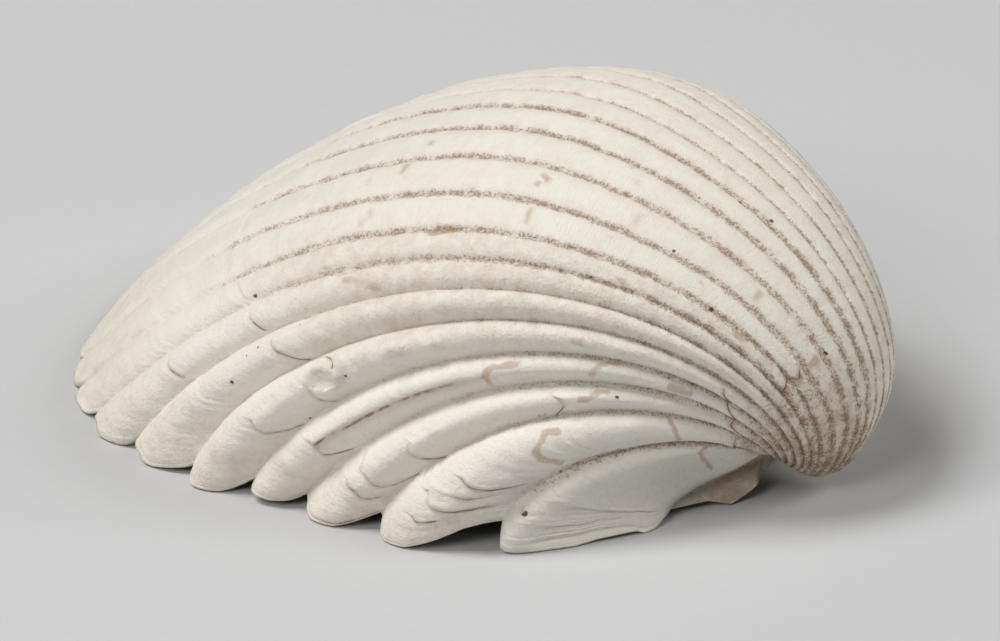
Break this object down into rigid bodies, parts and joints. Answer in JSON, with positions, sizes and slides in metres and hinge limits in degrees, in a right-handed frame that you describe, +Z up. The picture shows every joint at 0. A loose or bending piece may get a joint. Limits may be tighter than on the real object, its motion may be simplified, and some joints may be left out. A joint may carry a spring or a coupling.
{
  "type": "cockle shell",
  "caption": "Single ribbed cockle valve, ivory white, domed with a coiled beak and scalloped margin, lying hollow side down.",
  "frame": {"origin": "under the middle of the valve, on the surface that its rib tips rest on", "axes": "+X towards the beak, +Y towards the anterior side, +Z up, out of the top of the dome"},
  "size_m": [0.079, 0.061, 0.0267],
  "materials": {
    "shell": "chalky satin, ivory white, with brown grains in the grooves"
  },
  "bodies": {
    "root": {"valve": "shell"}
  },
  "joints": []
}
